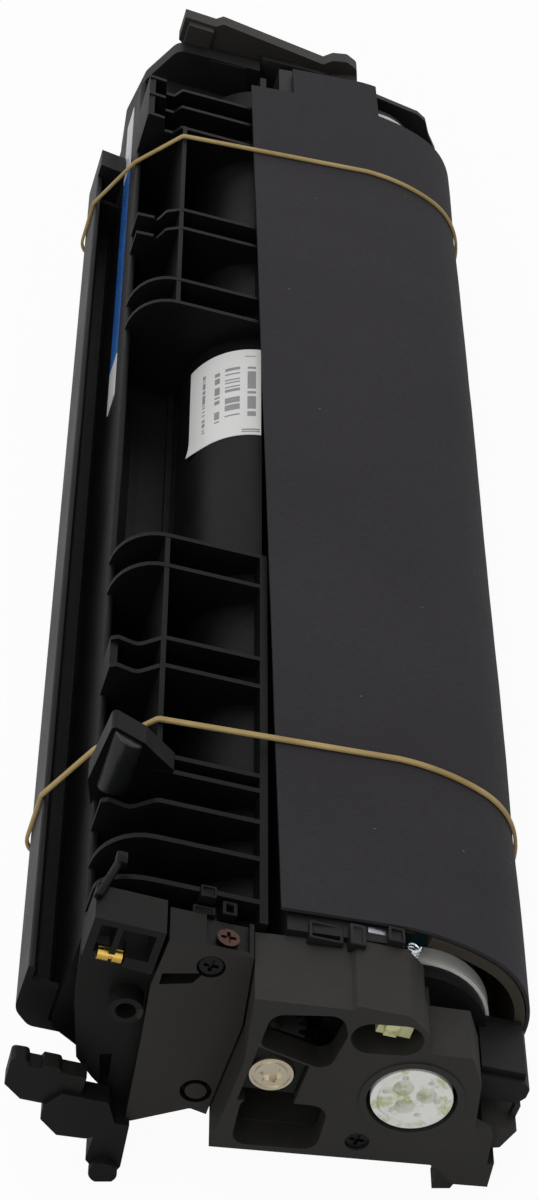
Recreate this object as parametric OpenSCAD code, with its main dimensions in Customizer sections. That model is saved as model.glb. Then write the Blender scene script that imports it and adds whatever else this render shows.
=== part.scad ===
// Laser toner cartridge of the large format, with toner hopper and drum in one unit.
// It lies on its side as stored: wrapped in black card that two rubber bands hold shut.
// The section is drawn upright in u (across) and w (up), runs along Y, and then leans on the floor.

/* [Overall] */
// Length from the drive plate to the back of the handle bar
body_len = 417; // [405:1:435]
// Lean of the section where it rests on its feet, in degrees
lean = 16.4; // [15.4:0.2:17.4]

/* [Toner hopper] */
// Level of the rib tops
rib_top = 60; // [58.5:0.5:61]
// Thickness of the cross ribs
rib_t = 1.4; // [1:0.1:2]
// Thickness of the outer walls
wall = 1.8; // [1.4:0.1:2.2]
// Distance from the section's datum to the left wall of the hopper
hopper_left = 53; // [52:0.5:54]
// Distance from the section's datum to the right wall of the rib field
hopper_right = 17; // [16.5:0.1:17.5]
// Distance from the datum to the spine that crosses the ribs
spine_at = 41.5; // [39:0.5:43]
// Radius of the toner barrel that shows in the open bay
barrel_r = 19.5; // [18.5:0.25:20.5]
// Level of the floor of the open bay
bay_floor = 30; // [29:0.5:32]

/* [Drum] */
// Radius of the drum tube
drum_r = 15; // [14.6:0.1:15.2]
// Radius of the drum flanges
flange_r = 17.3; // [17:0.1:17.6]
// Radius of the white drum coupling
drum_coupling_r = 8.6; // [8:0.1:9]
// Distance between the end plates of the drum frame
frame_span = 371; // [366:1:374]

/* [Developer] */
// Radius of the developer roller
dev_r = 8; // [7.4:0.1:8]
// Radius of the charge roller
charge_r = 6; // [5.6:0.1:6]
// Radius of the metal drive coupling
metal_r = 4.6; // [4:0.1:4.8]
// Teeth of the gear on the metal coupling
coupling_teeth = 17; // [15:1:19]
// Teeth of the gear on the agitator
agitator_teeth = 23; // [21:1:24]

/* [Wrap and bands] */
// Thickness of the card
card_t = 0.8; // [0.5:0.1:1]
// Width of a rubber band
band_w = 1.6; // [1:0.1:2.4]
// Thickness of a rubber band
band_t = 1; // [0.6:0.1:1.2]
// Distance of each rubber band from the middle of the length
band_at = 131.5; // [128:0.5:134]

/* [Hidden] */
$fn = 64;

// Ends of the cartridge along Y
near = -body_len / 2;
far = body_len / 2;

// Axes in the section, as [u, w]
drum_axis = [20.1, 38.9];
metal_axis = [-9.7, 37.3];
dev_gap = 0.3;
dev_angle = 209.2;
charge_gap = 0.2;
charge_angle = 150;
dev_axis = drum_axis + (drum_r + dev_r + dev_gap) * [cos(dev_angle), sin(dev_angle)];
charge_axis = drum_axis + (drum_r + charge_r + charge_gap) * [cos(charge_angle), sin(charge_angle)];
gear_module = 2 * norm(dev_axis - metal_axis) / (2 * coupling_teeth);
agitator_angle = -131;
agitator_axis = metal_axis
    + gear_module * (coupling_teeth + agitator_teeth) / 2 * [cos(agitator_angle), sin(agitator_angle)];

// Running and seating clearances
run = 0.06;
seat = 0.2;
air = 0.4;

// Stations along Y
plate_t = 3;
left_face = near + 10;
hop0 = near + 20;
hop1 = far - 27.5;
end_wall = 4;
gear0 = left_face + plate_t + 0.8;
gear_w = 5.4;
frame0 = -frame_span / 2;
frame1 = frame_span / 2;
near_flange = 4.3;
far_flange = 13.3;
drum0 = frame0 + seat + near_flange;
drum1 = frame1 - seat - far_flange;
frame_t = 3.5;
rim1 = frame0 - frame_t - seat;
cover0 = frame1 + frame_t + seat;

// Section levels
left = -hopper_left;
right = -hopper_right;
trough_r = 8;
barrel_axis = [-14.5, 36];
agitator_reach = 10.6;
chamber_r = agitator_reach + 0.8;
pocket_r = dev_r + 0.8;
hopper_shelf = 41.5;
hopper_nose = 2;

function unit(v) = v / norm(v);

// Points of one corner at b, rounded to radius r, between its neighbours a and c
function corner(a, b, c, r, n = 5) =
    r == 0 ? [b] :
    let (d1 = unit(a - b), d2 = unit(c - b), turn = acos(d1 * d2), t = r / tan(turn / 2),
         s = b + d1 * t, e = b + d2 * t, o = b + unit(d1 + d2) * r / sin(turn / 2),
         a0 = atan2(s.y - o.y, s.x - o.x), a1 = atan2(e.y - o.y, e.x - o.x),
         da = (a1 - a0 + 540) % 360 - 180)
    [for (i = [0:n]) o + r * [cos(a0 + da * i / n), sin(a0 + da * i / n)]];

// Outline from points [u, w] or [u, w, corner radius]
function outline(p, n = 5) =
    [for (i = [0:len(p) - 1])
        let (a = p[(i + len(p) - 1) % len(p)], b = p[i], c = p[(i + 1) % len(p)])
        each corner([a.x, a.y], [b.x, b.y], [c.x, c.y], len(b) > 2 ? b.z : 0, n)];

// The same outline, moved inwards by t; the points run counterclockwise
function inset(p, t) =
    [for (i = [0:len(p) - 1])
        let (a = p[(i + len(p) - 1) % len(p)], b = p[i], c = p[(i + 1) % len(p)],
             d1 = unit([b.x - a.x, b.y - a.y]), d2 = unit([c.x - b.x, c.y - b.y]),
             n1 = [-d1.y, d1.x], n2 = [-d2.y, d2.x], m = [b.x, b.y] + t * (n1 + n2) / (1 + n1 * n2))
        len(b) > 2 ? [m.x, m.y, max(0, b.z - t)] : m];

function reversed(p) = [for (i = [len(p) - 1:-1:0]) p[i]];

// Points of an arc about o, from the angle a0 to a1
function arc(o, r, a0, a1, n) =
    [for (i = [0:n]) let (a = a0 + (a1 - a0) * i / n) o + r * [cos(a), sin(a)]];

// Puts a section drawing into space, from y0 to y1
module along(y0, y1) translate([0, y1, 0]) rotate([90, 0, 0]) linear_extrude(height = y1 - y0) children();

module at2(p) translate([p.x, p.y]) children();

module rod(p, r, y0, y1) along(y0, y1) at2(p) circle(r);

module block(u0, u1, y0, y1, w0, w1) translate([u0, y0, w0]) cube([u1 - u0, y1 - y0, w1 - w0]);

// Slot with round ends from p to q
module slot_shape(p, q, r) {
    a = atan2(q.y - p.y, q.x - p.x);
    polygon(concat(arc(p, r, a + 90, a + 270, 16), arc(q, r, a - 90, a + 90, 16)));
}

// Turns the section onto its feet and trims what would pass through the floor
module stance() translate([stance_u, stance_y, 0]) rotate([0, lean, 0]) children();

stance_u = -1.26;
stance_y = 0.15;

module floor_cut(u, y0, y1) rotate([0, -lean, 0]) translate([u - 40, y0, -30]) cube([80, y1 - y0, 30]);

// Gears

tooth_tip = 0.8;
tooth_root = 1.05;
function gear_tip(z) = gear_module * (z / 2 + tooth_tip);

function gear_outline(z, m, phase) =
    [for (i = [0:z - 1], k = [[-0.29, 0], [-0.12, 1], [0.12, 1], [0.29, 0]])
        let (a = phase + (i + k.x) * 360 / z, r = m * (z / 2 + (k.y == 1 ? tooth_tip : -tooth_root)))
        r * [cos(a), sin(a)]];

// Direction from p to q
function bearing(p, q) = atan2(q.y - p.y, q.x - p.x);

// Turn of a gear of z2 teeth that meshes with one of z1 teeth turned by phase, in the direction a
function mesh_phase(z1, phase, z2, a) =
    let (pitch = 360 / z1, d = (a - phase) - pitch * round((a - phase) / pitch))
    a + 180 + d * z1 / z2 + 180 / z2;

coupling_phase = bearing(metal_axis, dev_axis);
dev_phase = mesh_phase(coupling_teeth, coupling_phase, coupling_teeth, bearing(metal_axis, dev_axis));
agitator_phase =
    mesh_phase(coupling_teeth, coupling_phase, agitator_teeth, bearing(metal_axis, agitator_axis));

// Toner hopper

rib_left_level = 48.4;
near_ribs = [26.2, 39.4, 51.1, 61.2, 66.1, 97, 107, 134.4, 146.2];
far_ribs = [47.1, 57.3, 69.7, 117.5, 127.4, 154.6, 166.1];

// Rib that falls away to the left in an arc
arc_end = 84.6;
function arc_rib(depth) =
    [[right - wall / 2, bay_floor], [right - wall / 2, rib_top], [-spine_at + 1, rib_top],
     each [for (i = [0:8]) let (t = i / 8, fall = (1 - cos(arc_end * t)) / (1 - cos(arc_end)))
        [-spine_at - (hopper_left - spine_at) * sin(90 * t), rib_top - depth * fall]],
     [left, bay_floor]];

// Rib with a dip beside the spine and a raised left end
function dip_rib() =
    outline([[right - wall / 2, bay_floor], [right - wall / 2, rib_top], [-spine_at, rib_top, 3],
     [-46.6, 56.2, 3], [-51.5, 57.2, 1], [left, 56.4], [left, bay_floor]]);

// Rib of the far field: right part and short left piece
function step_rib() =
    [[right - wall / 2, bay_floor], [right - wall / 2, rib_top - 0.8], [-42.6, rib_top - 0.6], [-44.5, 57],
     [-47, 57], [-48, rib_top + 1], [left, rib_top + 1.4], [left, bay_floor]];

// Rib of the far field that ends in a low flat piece on the left
function flat_rib() =
    [[right - wall / 2, bay_floor], [right - wall / 2, rib_top], [-spine_at, rib_top], [-45.4, 58.2],
     [-47.4, 54.4], [-48.2, 55.4], [left, 55.2], [left, bay_floor]];

module rib(y, shape) along(y - rib_t / 2, y + rib_t / 2) polygon(shape);

hopper_floor = 6.2;

module hopper_section() {
    polygon(outline([[left, 19, 3], [left, rib_left_level, 0.8], [left + wall, rib_left_level, 0.8],
        [left + wall, bay_floor, trough_r], [-33.5, bay_floor], [right - wall, 42], [right - wall, rib_top],
        [right, rib_top], [right, hopper_shelf], [hopper_nose, hopper_shelf, 1], [hopper_nose, dev_axis.y],
        [7.5, 20.6, 0.5], [7.5, 17.4, 1], [right, 11.2, 2], [-32, hopper_floor, 1], [-35, hopper_floor, 1.5],
        [-42, 12, 2]]));
    intersection() {
        at2(barrel_axis) circle(barrel_r);
        translate([-60, hopper_floor + 10]) square([60 + right, 60]);
    }
}

module hopper_cavity() {
    y0 = hop0 + end_wall;
    y1 = hop1 - end_wall;
    rod(agitator_axis, chamber_r, y0, y1);
    rod(dev_axis, pocket_r, y0, y1);
    block(agitator_axis.x, dev_axis.x, y0, y1, agitator_axis.y - 5, agitator_axis.y + 6);
    block(dev_axis.x, 20, y0, y1, dev_axis.y - 6.4, dev_axis.y + pocket_r);
    // Toner store under the bay floor
    along(y0, y1)
        polygon([[left + 3.5, bay_floor - 3], [left + 3.5, 21.5], [-41, 15], [-34, hopper_floor + 4],
            [agitator_axis.x, hopper_floor + 5], [agitator_axis.x, bay_floor - 3]]);
}

bay0 = near + near_ribs[8] + rib_t / 2;
bay1 = far - far_ribs[6] - rib_t / 2;
lug_t = 5.2;
rib_fall = 11.5;

module toner_hopper() color("#2a292b") stance() difference() {
    union() {
        along(hop0, hop1) hopper_section();
        for (i = [0:len(near_ribs) - 1])
            rib(near + near_ribs[i],
                i == 0 ? arc_rib(rib_fall / 2) : i == 1 || i > 6 ? arc_rib(rib_fall) : dip_rib());
        for (i = [0:len(far_ribs) - 1])
            rib(far - far_ribs[i], i < 3 ? step_rib() : i < 5 ? flat_rib() : arc_rib(rib_fall));
        // Spine in the two rib fields beside the bay
        for (y = [[near + near_ribs[4], near + near_ribs[8]], [far - far_ribs[6], far - far_ribs[2]]])
            block(-spine_at - 0.6, -spine_at + 0.6, y[0], y[1], bay_floor - 1, rib_top - 0.1);
        // Low ridge along the foot of the barrel in the bay
        block(-36.2, -34.6, bay0 - 1, bay1 + 1, bay_floor - 1, bay_floor + 1.2);
        // Lug that stands over the near field
        along(near + near_ribs[4] - lug_t, near + near_ribs[4] + rib_t / 2)
            polygon(outline([[-38.5, rib_top - 6], [-38.2, rib_top + 0.6], [-43.8, 64.5, 1], [-46, 66.2, 1],
                [-54, 69.2, 1], [-55.4, 53, 1], [left + 2, 40]]));
        // Ends of the left wall stand up to the rib field
        block(left, left + wall, near + near_ribs[5], near + near_ribs[6], bay_floor, 56);
        block(left, left + wall, far - far_ribs[2], far - far_ribs[0], bay_floor, rib_top + 1);
        // Boss of the plate screw, and bearing bosses of the developer roller
        rod(side_screw, 2.7, left_face + plate_t + seat, near + near_ribs[0] + rib_t / 2);
        for (y = [hop0, hop1 - end_wall]) rod(dev_axis, dev_shaft_r + 1.6, y, y + end_wall);
    }
    hopper_cavity();
    // In the bay the barrel lies open up to the card
    along(bay0, bay1) difference() {
        translate([right - wall - 1, bay_floor]) square([wall + 2, rib_top]);
        at2(barrel_axis) circle(barrel_r);
    }
    // Hollow of the lug, open towards the near end
    along(near + near_ribs[4] - lug_t - 1, near + near_ribs[4] - 1)
        polygon([[-47.4, 56], [-47.4, 64.6], [-52.4, 66.4], [-53.4, 56]]);
    // Shaft holes in the end walls
    for (y = [hop0 - 1, hop1 - end_wall - 1]) {
        rod(dev_axis, dev_shaft_r + run, y, y + end_wall + 2);
        rod(agitator_axis, agitator_shaft_r + run, y, y + end_wall + 2);
    }
    rod(metal_axis, metal_shaft_r + run, hop0 - 1, hop0 + 3);
    rod(side_screw, screw_r + run, left_face, hop0 + 4.5);
    // Filling hole, closed by the plug
    rod(plug_axis, plug_r, hop1 - end_wall - 1, hop1 + 1);
}

dev_shaft_r = 3;
agitator_shaft_r = 2.5;
metal_shaft_r = 2;
screw_r = 1.5;
screw_head_r = 2.8;
stud_axis = [-20.8, 18.6];
copper_axis = [-25.3, near + 14];
copper_seat = 58.2;
copper_head_r = 2.4;
side_screw = [-27.5, 54.5];
side_boss = [-41, 37.5];
plug_axis = [-36.5, 18.5];
plug_r = 4.5;

module fill_plug() color("#3b3a3c") stance() {
    rod(plug_axis, plug_r - run, hop1 - end_wall, hop1);
    rod(plug_axis, plug_r + 1.5, hop1, hop1 + 1.4);
}

// Side tray

tray_lip = 32;
tray_left = -61;
tray_t = 1.6;
tray0 = near + 23;
tray1 = near + 365;

tray_floor = 14.6;
tray_root = -48.6;
tray_wall = left - 0.4;

module tray_profile()
    polygon(outline([[tray_left, tray_lip, 0.5], [tray_left, 18.6, 5], [-57, tray_floor, 3],
        [tray_root, tray_floor], [tray_root, tray_floor + 0.8], [tray_wall, tray_floor + 3],
        [tray_wall, tray_floor + tray_t], [-57, tray_floor + tray_t, 2], [tray_left + tray_t, 19, 4],
        [tray_left + tray_t, tray_lip, 0.5]]));

module tray_end(top) polygon(outline([[tray_left, top + 1], [tray_left, 18.6, 5], [-57, tray_floor, 3],
    [tray_wall, tray_floor], [tray_wall, top]]));

module side_tray() color("#242325") stance() {
    along(tray0, tray1) tray_profile();
    along(tray0, tray0 + tray_t) tray_end(27);
    along(tray1 - 9, tray1) tray_end(tray_lip + 3);
    along(tray1 - 16, tray1 - 14) tray_end(27);
}

// Contact side cover at the near end, set back behind the drive plate

cover_rim = 2;
side_outline = [[-37.6, 59.4], [-38, 46, 1], [-35.8, 30], [-32.8, 5.2, 1], [-20.6, 13.2, 1], [-16.8, 12.4],
    [-16.7, 40], [-19.8, 59.4]];
back_outline = [[-53.4, 48.6, 1], [-51, 33], [-46.6, 17], [-42, 12], [-35, 6], [-33, 6], [-34, 50]];

module contact_side_cover() color("#2d2c2b") stance() difference() {
    union() {
        along(left_face, left_face + plate_t) polygon(outline(side_outline));
        // Rim behind the plate
        along(left_face + 1, hop0 - seat) difference() {
            polygon(outline(side_outline));
            polygon(outline(inset(side_outline, cover_rim)));
        }
        // Set-back left panel
        along(left_face + 4.5, hop0 - seat) polygon(outline(back_outline));
        // Window frame at the top left
        along(left_face, hop0 - seat) difference() {
            polygon([[-53.6, 50], [-53.6, 61.4], [-38.6, 61], [-38.6, 49]]);
            polygon([[-51.8, 52.2], [-51.8, 59.8], [-48.4, 59.7], [-48.4, 52.2]]);
            polygon([[-47.2, 52.2], [-47.2, 59.7], [-40.2, 59.4], [-40.2, 52.2]]);
        }
        // Raised boss of the left hole
        rod(side_boss, 3.6, left_face, left_face + 6);
        // Pad of the copper-coloured screw
        block(copper_axis.x - 3.6, copper_axis.x + 3.6, left_face + 0.6, hop0 - seat, copper_seat - 0.9, copper_seat);
        // Two stepped contact blocks
        block(-51, -43, left_face - 1, left_face + 7, 8, 11.6);
        along(left_face - 1, left_face + 3)
            polygon(outline([[-60.6, 18.4, 1], [-60.2, 10.5], [-56, 7], [-50, 7], [-44, 10], [-44, 17],
                [-49.4, 17], [-50, 18.2, 1], [-53.6, 18.2], [-54, 17], [-56.4, 17], [-57, 18.6, 1]]));
        along(left_face - 2, left_face + 3)
            polygon([[-51, 7.5], [-50.6, 3.2], [-46.2, -0.6], [-40, 0], [-34, 4], [-38, 12], [-48, 12]]);
        // Post that the near end stands on
        along(left_face - 2, left_face + 8)
            polygon(outline([[-38.6, 6], [-38.4, -6.4, 1], [-36.6, -8], [-36.4, -12], [-31.6, -12],
                [-31.2, -8.4], [-30.6, -6.4], [-32, 6.5]]));
        rod([-34.2, -7.4], 3.1, left_face - 4, left_face - 1.9);
    }
    floor_cut(-34, left_face - 10, left_face + 20);
    // Slot and holes of the plate
    along(left_face - 1, left_face + plate_t + 1)
        polygon([[-36.6, 50], [-28.4, 52.4], [-30, 49], [-36.4, 46.8]]);
    rod(side_screw, screw_r + run, left_face - 1, hop0);
    rod(side_screw, screw_head_r + seat, left_face - 1, left_face + 1.6);
    along(left_face - 1, left_face + 2) difference() {
        at2(stud_axis) circle(3.4);
        at2(stud_axis) circle(2.3);
    }
    rod(agitator_axis, gear_tip(agitator_teeth) + 0.8, left_face + plate_t, hop0);
    rod(metal_axis, gear_tip(coupling_teeth) + 0.8, left_face + plate_t, hop0);
    rod(side_boss, 2.2, left_face - 1, left_face + 5.5);
    // Seat of the brass contact
    block(-51, -45, left_face - 1, left_face + 5, 49, 52.3);
    block(copper_axis.x - 4.6, copper_axis.x + 4.6, left_face + 1.3, hop0, copper_seat, copper_seat + 4);
    translate([copper_axis.x, copper_axis.y, copper_seat - 1]) cylinder(r = screw_r + run, h = 2);
    // Lever slot beside the lower edge
    along(left_face + 3, left_face + 8) polygon([[-42, 19], [-39.6, 20], [-38.2, 11.6], [-39.8, 10.8]]);
}

// Drive plate at the near end

plate_outline = [[-16.4, 13.6], [29.9, 21.1], [33, 19.5], [36.5, 16.8], [43.7, 18], [42.7, 25.5],
    [41.4, 24.6], [39.8, 33], [35.4, 34.6], [32.6, 47], [28.6, 53.8, 0.6], [18.9, 52.8, 0.4],
    [17.2, 58.4, 3], [12.6, 61.9, 3], [1.6, 61.7, 1], [0.6, 60.4], [-19.2, 57.9], [-16.2, 40]];
collar_r = 9.5;
collar_t = 1.5;
collar_out = 0.3;
rim_t = 1.8;
slot_a = [6.7, 53.6];
slot_b = [13.2, 54.8];
slot_r = 4.2;
upper_pocket = [[-14.6, 45.4, 2], [1, 42, 3], [2, 53, 3.4], [-0.4, 58.2, 3.4], [-14.6, 54.6, 3.4]];
lower_pocket = [[-12.4, 15.8, 3], [5.4, 18.8, 3.4], [4.4, 32, 3.4], [-13.8, 29.6, 2.4]];

module drive_plate() color("#302f2d") stance() difference() {
    union() {
        along(near, near + plate_t) polygon(outline(plate_outline));
        // Walls that run back from the edge of the plate
        along(near + 1, rim1) difference() {
            polygon(outline(plate_outline));
            polygon(outline(inset(plate_outline, rim_t)));
            // Lower on the right, where the drum frame stands out
            translate([20, 8]) square([50, 60]);
        }
        along(near + 1, near + 13.8) difference() {
            polygon(outline(plate_outline));
            polygon(outline(inset(plate_outline, rim_t)));
            translate([-30, 0]) square([50, 70]);
            // Free under the end block
            translate([32, 26]) square([20, 19.5]);
        }
        // Foot and low bar on the right
        along(near + 4, near + 9.5) polygon([[33, 20.5], [34.2, 9], [37.4, 9], [39.4, 18.4]]);
        along(near + 2.8, near + 11)
            polygon([[36.4, 24], [37.7, 33], [45.2, 33.3], [43.4, 27.5], [41.2, 26.6]]);
        block(44, 45.2, near + 6.8, near + 8.6, 32, 36.6);
        rod(hole_axis, 3.2, near + 1, rim1);
        // Walls of the two pockets
        for (p = [upper_pocket, lower_pocket])
            along(near + 1, near + pocket_d) difference() {
                polygon(outline(inset(p, -1.2)));
                polygon(outline(p));
            }
        rod(drum_axis, collar_r + collar_t, near - collar_out, near + 12);
        along(near, near + 9) slot_shape(slot_a, slot_b, slot_r + 1.2);
    }
    floor_cut(35, near, near + 12);
    for (p = [upper_pocket, lower_pocket]) along(near - 1, near + pocket_d + 1) polygon(outline(p));
    rod(drum_axis, collar_r, near - 2, near + 13);
    along(near - 1, near + 10) slot_shape(slot_a, slot_b, slot_r);
    rod(hole_axis, screw_r + run, near - 1, rim1 + 1);
    rod(hole_axis, screw_head_r - 0.2, near - 1, near + 1.8);
    // Opening that the bridge bracket spans
    along(near - 1, near + pocket_d + 1) polygon(bridge_gap);
    // Windows in the left wall for the gears
    rod(agitator_axis, gear_tip(agitator_teeth) + 0.8, gear0 - 0.8, rim1 + 1);
    rod(metal_axis, gear_tip(coupling_teeth) + 0.8, gear0 - 0.8, rim1 + 1);
}
pocket_d = 6;
bridge_gap = [[-14.6, 28.8], [-3, 30.2], [-3, 42.4], [-14.6, 45]];
hole_axis = [13, 23.6];

// Bridge between the pockets that carries the metal coupling

module coupling_bracket() color("#262526") stance() difference() {
    union() {
        along(near + pocket_d + seat, near + pocket_d + 1.6)
            polygon(outline([[-14, 31], [3.2, 33.2], [3.2, 40.4], [-2.6, 42.4], [-14, 44]]));
        // Front of the bridge, level with the back of the metal coupling
        along(near + 1.4, near + pocket_d + 1)
            polygon([[-14.2, 31.4], [-3.4, 32.6], [-3.4, 42], [-14.2, 44]]);
    }
    rod(metal_axis, metal_shaft_r + run, near, hop0);
    rod(metal_axis, metal_r + air, near, near + 2.2);
}

// Far end

far_left_y = far - 8.5;
far_right_y = far - 13.5;
far_ring_y = cover0 + 3.5;
far_outline = [[-46, 6], [-51.2, 14, 5], [-53, 28, 6], [-51, 41, 3], [-43.6, 44.4, 2], [-17, 44.4],
    [-15.4, 48], [-7, 48], [-7, 57.6], [13, 59.3], [19.1, 57.7], [33.3, 55.6, 2], [36.3, 54, 1],
    [38.9, 49.4], [42.5, 45, 3], [44.6, 40, 4], [44.6, 24, 3], [40, 19.6], [38.6, 9.6], [35.2, 9.6],
    [33.8, 17.4], [-18, 7.6], [-31, 0.6], [-32, -12], [-36.4, -12], [-38, 2]];
far_wall = [[-46, 6], [-51.2, 14, 5], [-53, 28, 6], [-50.6, 43, 6], [-43.6, 55.4, 4], [-17.7, 55.6],
    [-15, 45], [-15, 8.2], [-18, 7.6], [-31, 0.6], [-32, -12], [-36.4, -12], [-38, 2]];

module far_end_cover() color("#2b2a2a") stance() difference() {
    union() {
        along(cover0 - 8, far_right_y) polygon(outline(reversed(far_outline)));
        along(far_right_y - 1, far_left_y) polygon(outline(reversed(far_wall)));
        // Stepped panel on the raised wall
        along(far_right_y - 1.6, far_right_y - 0.5)
            polygon([[-33.5, 54.9], [-31.8, 48.9], [-28, 44], [-17.7, 44], [-22.2, 55.4]]);
    }
    // Hollow that takes the end plates
    along(cover0 - 9, far_ring_y) polygon(outline(inset(reversed(far_outline), 1.8)));
    floor_cut(-34, cover0 - 10, far);
    floor_cut(37, cover0 - 10, far);
    // Open at the top, over the drum frame and the far flange
    block(-16.6, 60, cover0 - 9, far_ring_y, 44.5, 70);
}

bar_y = far - 5.5;

module handle_bar() color("#353331") stance() {
    along(bar_y, far)
        polygon(outline([[-43.4, 62.4], [-43.4, 54.4], [-41.8, 53.4], [-28, 52.2], [-12.3, 52.7, 0.6],
            [-12, 55.8], [4, 56], [4, 50], [13, 50], [14.4, 54], [12.4, 60, 2.2], [8.8, 61.6, 2],
            [4.4, 60.8, 1.6], [1.9, 58.8], [-31.6, 63.2], [-33.6, 61.8]]));
    // Feet of the bar, on the raised wall and on the low one
    along(far_left_y + seat, bar_y + 1) polygon([[-42, 61.4], [-42, 54.4], [-34, 53.6], [-34, 61]]);
    along(far_right_y + seat, bar_y + 1) polygon([[4.6, 56], [4.6, 50.4], [12.6, 50.4], [12.6, 58]]);
}

// Drum frame: top channel with two end plates

frame_disc_r = 16.6;
frame_plate = [[-13, 46.6], [-13, 60.4], [9, 62.4], [11.6, 62.3], [11.6, 50], [17, 34], [22, 23, 1],
    [17, 20.8], [9.4, 18.6], [8.6, 24], [4, 36], [3.6, 46.6]];

module frame_channel() polygon([[-13, 46.8], [-13, 60.4], [9, 62.4], [17, 62.2], [17, 60.6], [9, 60.8],
    [-11.4, 58.8], [-11.4, 48.4], [-6.6, 48.4], [-6.6, 46.8]]);

module drum_frame() color("#272628") stance() {
    along(frame0 + frame_t, frame1 - frame_t) frame_channel();
    for (y = [frame0 - frame_t, frame1])
        along(y, y + frame_t) difference() {
            union() {
                polygon(outline(reversed(frame_plate)));
                at2(drum_axis) circle(frame_disc_r);
            }
            at2(drum_axis) circle(drum_journal_r + run);
            if (y < 0) at2(hole_axis) circle(screw_r + run);
        }
    for (y = [[frame0 - frame_t, frame0 + frame_t], [frame1 - frame_t, frame1 + frame_t]])
        along(y[0], y[1])
            polygon([[-13, 46.8], [-13, 60.4], [9, 62.4], [9, 60.8], [-11.4, 58.8], [-11.4, 46.8]]);
    // End block that stands out on the right of the near end
    along(near + 6.5, frame0)
        polygon(outline([[33.7, 37], [44, 37.6], [45.3, 39.6, 1], [45.3, 42.2, 1], [44, 43.4], [33.7, 43]]));
    along(near + 8, frame0) polygon([[33.9, 42], [44, 43.2], [43.6, 45], [33.9, 44.8]]);
    // Small block before the disc
    block(15, 17.6, frame0 - frame_t - 2, frame0 - frame_t + 0.5, 46.4, 50.6);
}
drum_journal_r = 6;

shoulder_axis = [25.2, 40.7];
shoulder_r = 20.6;
crown_r = 55.5;
crown_turn = 22;
crown_axis = shoulder_axis - (crown_r - shoulder_r) * [sin(crown_turn), cos(crown_turn)];
wrap_right = shoulder_axis.x + shoulder_r;

// Arch of the drum side: flat crown and round shoulder, from the angle a0 down to the side wall
function arch(a0) = concat(arc(crown_axis, crown_r, a0, 90 - crown_turn, 10),
    arc(shoulder_axis, shoulder_r, 90 - crown_turn - 5, 0, 14));

// Points moved to the right of their direction by t, as for the inner face of a sheet
function beside(p, t) =
    [for (i = [0:len(p) - 1])
        let (d1 = i == 0 ? unit(p[1] - p[0]) : unit(p[i] - p[i - 1]),
             d2 = i == len(p) - 1 ? d1 : unit(p[i + 1] - p[i]), n = [d1.y + d2.y, -d1.x - d2.x])
        p[i] + t * n / (1 + d1 * d2)];

shutter_t = 2.2;
shutter_path = concat(arch(84), [[wrap_right, 30]]);

module drum_shutter() color("#2c2825") stance()
    along(frame0 + 0.3, drum1 - 4) polygon(concat(beside(shutter_path, card_t + seat),
        reversed(beside(shutter_path, card_t + seat + shutter_t))));

module wiper_bracket() color("#8d8f92") stance()
    along(frame0 + holder_len + 3 * seat, frame1 - holder_len - 3 * seat)
        polygon([[-6.4, 58.4], [-6.4, 49.6], [-5.2, 49.6], [-5.2, 57.2], [12.6, 58.8], [12.6, 60]]);

module wiper_blade() color("#9a6a3a") stance()
    along(drum0 + 5, drum1 - 5) polygon([[7.6, 58.1], [15.9, 54.3], [17.2, 54.9], [11.8, 58.5]]);

module doctor_blade() color("#86888b") stance()
    along(drum0 + 4, drum1 - 4)
        polygon([[hopper_nose + seat, 40.8], [hopper_nose + seat, 36.4], [hopper_nose + 1.5, 36.2],
            [hopper_nose + 1.5, 40.8]]);

seal_w = 5;
dev_len = 330;

module roller_end_seals() color("#4a4743") stance()
    for (y = [-dev_len / 2 - seal_w - seat, dev_len / 2 + seat])
        along(y, y + seal_w) difference() {
            at2(dev_axis) circle(pocket_r - run);
            at2(dev_axis) circle(dev_shaft_r + 0.5);
            at2(dev_axis) square([20, 40]);
            translate([dev_axis.x, dev_axis.y - 40]) square([20, 40]);
        }

// Drum with its flanges and coupling

tube_t = 0.8;
spigot_len = 9;

module drum_tube() color("#3f6f77") stance() along(drum0, drum1) difference() {
    at2(drum_axis) circle(drum_r);
    at2(drum_axis) circle(drum_r - tube_t);
}

module drum_near_flange() color("#e9e9e6") stance() {
    rod(drum_axis, flange_r, drum0 - near_flange, drum0);
    rod(drum_axis, drum_r - tube_t - run, drum0, drum0 + spigot_len);
    rod(drum_axis, drum_journal_r, near + 10, drum0 - near_flange);
}

coupling_face = near + 3.9;

module drum_coupling() color("#eeeeea") stance() difference() {
    rod(drum_axis, drum_coupling_r, coupling_face, near + 10);
    rod(drum_axis, drum_coupling_r - 1.3, coupling_face - 1, coupling_face + 0.8);
    // Three lobes of the drive socket, and six small holes round them
    for (i = [0:2])
        rod(drum_axis + 3.1 * [cos(120 * i + 20), sin(120 * i + 20)], 2.2, coupling_face, coupling_face + 4);
    for (i = [0:5])
        rod(drum_axis + 5.6 * [cos(60 * i), sin(60 * i)], 0.7, coupling_face, coupling_face + 2.4);
}

module drum_far_flange() color("#e9e9e6") stance() difference() {
    union() {
        rod(drum_axis, flange_r, drum1, drum1 + far_flange);
        rod(drum_axis, drum_r - tube_t - run, drum1 - spigot_len, drum1);
        rod(drum_axis, drum_journal_r, drum1 + far_flange, frame1 + frame_t);
    }
    rod(drum_axis, axle_r + run, drum1 - spigot_len - 1, frame1 + frame_t + 1);
}
axle_r = 3;

module drum_axle() color("#b9bcc0") stance() rod(drum_axis, axle_r, drum1 - spigot_len, frame1 + frame_t);

// Charge roller, its two spring-loaded holders

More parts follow.
